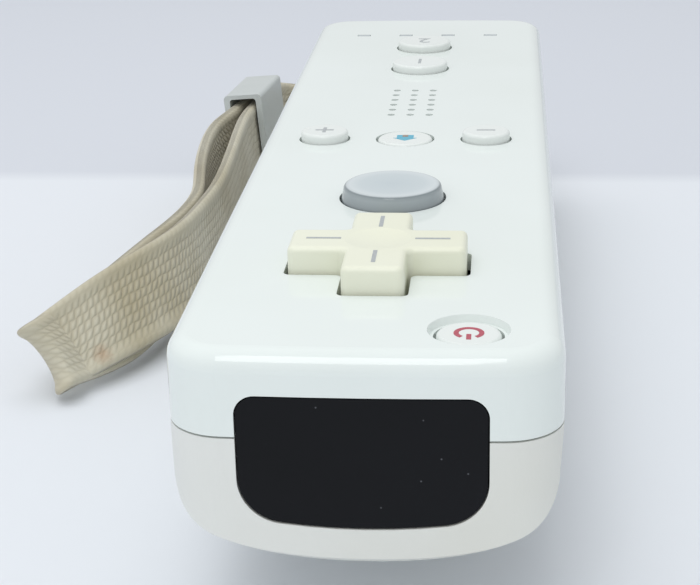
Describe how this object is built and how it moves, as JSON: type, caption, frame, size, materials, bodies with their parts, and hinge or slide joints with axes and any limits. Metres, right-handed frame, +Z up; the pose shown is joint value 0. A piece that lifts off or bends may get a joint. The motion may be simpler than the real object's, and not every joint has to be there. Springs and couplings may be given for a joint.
{
  "type": "motion controller",
  "caption": "Handheld motion controller with direction pad, trigger, battery cover and a folded wrist strap with slider.",
  "frame": {"origin": "on the table under the middle of the body, strap left out", "axes": "+X across the body to the picture's right, +Y from the pointing end to the strap end, +Z up out of the buttons"},
  "size_m": [0.0673, 0.1742, 0.0335],
  "materials": {
    "shell_top": "glossy",
    "shell_bottom": "satin",
    "window": "glossy",
    "pad_cream": "satin",
    "clear_grey": "glossy",
    "button_white": "glossy",
    "board_green": "satin",
    "dark_plastic": "matte",
    "plated_steel": "polished",
    "screw_steel": "satin",
    "weight_metal": "satin",
    "clear_guide": "glossy",
    "cell_wrap": "glossy",
    "rubber_grey": "matte",
    "inner_plastic": "matte",
    "speaker_black": "matte",
    "capacitor_yellow": "matte",
    "sync_red": "satin",
    "webbing": "woven",
    "cord": "braided",
    "slider_grey": "satin"
  },
  "bodies": {
    "housing": {"a_dome": "rubber_grey", "accelerometer": "plated_steel", "battery_cell_left": "cell_wrap", "battery_cell_right": "cell_wrap", "capacitor": "capacitor_yellow", "case_screw_1": "screw_steel", "case_screw_2": "screw_steel", "case_screw_3": "screw_steel", "case_screw_4": "screw_steel", "contact_spring_left": "plated_steel", "contact_spring_right": "plated_steel", "cord_ferrule": "slider_grey", "crystal": "plated_steel", "d_pad_mat": "rubber_grey", "expansion_socket": "dark_plastic", "front_contact_left": "plated_steel", "front_contact_right": "plated_steel", "home_dome": "rubber_grey", "inductor": "dark_plastic", "ir_camera": "dark_plastic", "ir_window": "window", "light_guides": "clear_guide", "lower_shell": "shell_bottom", "main_board": "board_green", "memory_chip": "dark_plastic", "minus_dome": "rubber_grey", "motor_sleeve": "rubber_grey", "one_dome": "rubber_grey", "player_led_1": "clear_guide", "player_led_2": "clear_guide", "player_led_3": "clear_guide", "player_led_4": "clear_guide", "plus_dome": "rubber_grey", "power_dome": "rubber_grey", "radio_chip": "dark_plastic", "rear_bridge": "plated_steel", "rumble_motor": "plated_steel", "speaker": "speaker_black", "speaker_gasket": "rubber_grey", "strap_cord": "cord", "strap_webbing": "webbing", "sync_dome": "rubber_grey", "trigger_dome": "rubber_grey", "two_dome": "rubber_grey", "upper_shell": "shell_top"},
    "battery_cover": {"battery_cover": "shell_bottom"},
    "b_trigger": {"b_trigger": "shell_bottom"},
    "power_button": {"power_button": "button_white"},
    "a_button": {"a_button": "clear_grey"},
    "plus_button": {"plus_button": "button_white"},
    "minus_button": {"minus_button": "button_white"},
    "home_button": {"home_button": "button_white"},
    "one_button": {"one_button": "button_white"},
    "two_button": {"two_button": "button_white"},
    "d_pad": {"d_pad": "pad_cream"},
    "d_pad_rocker": {"d_pad_rocker": "inner_plastic"},
    "sync_button": {"sync_button": "sync_red"},
    "rumble_weight": {"rumble_weight": "weight_metal"},
    "strap_slider": {"strap_slider": "slider_grey"}
  },
  "joints": [
    {"name": "power_press", "type": "slide", "parent": "housing", "child": "power_button", "axis": [0, 0, -1], "range_m": [0, 0.0006], "stiffness_N_per_m": 300, "deforming": ["power_dome"]},
    {"name": "a_press", "type": "slide", "parent": "housing", "child": "a_button", "axis": [0, 0, -1], "range_m": [0, 0.0006], "stiffness_N_per_m": 300, "deforming": ["a_dome"]},
    {"name": "plus_press", "type": "slide", "parent": "housing", "child": "plus_button", "axis": [0, 0, -1], "range_m": [0, 0.0006], "stiffness_N_per_m": 300, "deforming": ["plus_dome"]},
    {"name": "minus_press", "type": "slide", "parent": "housing", "child": "minus_button", "axis": [0, 0, -1], "range_m": [0, 0.0006], "stiffness_N_per_m": 300, "deforming": ["minus_dome"]},
    {"name": "home_press", "type": "slide", "parent": "housing", "child": "home_button", "axis": [0, 0, -1], "range_m": [0, 0.0006], "stiffness_N_per_m": 300, "deforming": ["home_dome"]},
    {"name": "one_press", "type": "slide", "parent": "housing", "child": "one_button", "axis": [0, 0, -1], "range_m": [0, 0.0006], "stiffness_N_per_m": 300, "deforming": ["one_dome"]},
    {"name": "two_press", "type": "slide", "parent": "housing", "child": "two_button", "axis": [0, 0, -1], "range_m": [0, 0.0006], "stiffness_N_per_m": 300, "deforming": ["two_dome"]},
    {"name": "pad_tilt_front_back", "type": "hinge", "parent": "housing", "child": "d_pad_rocker", "pos_m": [0, -0.0498, 0.02675], "axis": [1, 0, 0], "range_deg": [-3, 3], "stiffness_Nm_per_rad": 0.05},
    {"name": "pad_tilt_sideways", "type": "hinge", "parent": "d_pad_rocker", "child": "d_pad", "pos_m": [0, -0.0498, 0.02675], "axis": [0, 1, 0], "range_deg": [-3, 3], "stiffness_Nm_per_rad": 0.05},
    {"name": "trigger_pull", "type": "hinge", "parent": "housing", "child": "b_trigger", "pos_m": [0, -0.053, 0.0126], "axis": [1, 0, 0], "range_deg": [0, 4.5], "stiffness_Nm_per_rad": 0.05, "deforming": ["trigger_dome"]},
    {"name": "cover_open", "type": "hinge", "parent": "housing", "child": "battery_cover", "pos_m": [0, -0.012, 0], "axis": [-1, 0, 0], "range_deg": [0, 70]},
    {"name": "sync_press", "type": "slide", "parent": "housing", "child": "sync_button", "axis": [0, 0, 1], "range_m": [0, 0.0004], "stiffness_N_per_m": 300, "deforming": ["sync_dome"]},
    {"name": "weight_spin", "type": "hinge", "parent": "housing", "child": "rumble_weight", "pos_m": [-0.007, -0.0165, 0.0108], "axis": [0, 1, 0], "continuous": true},
    {"name": "slider_slide", "type": "slide", "parent": "housing", "child": "strap_slider", "axis": [0.1045, 0.9945, 0], "range_m": [0, 0.0025]}
  ]
}
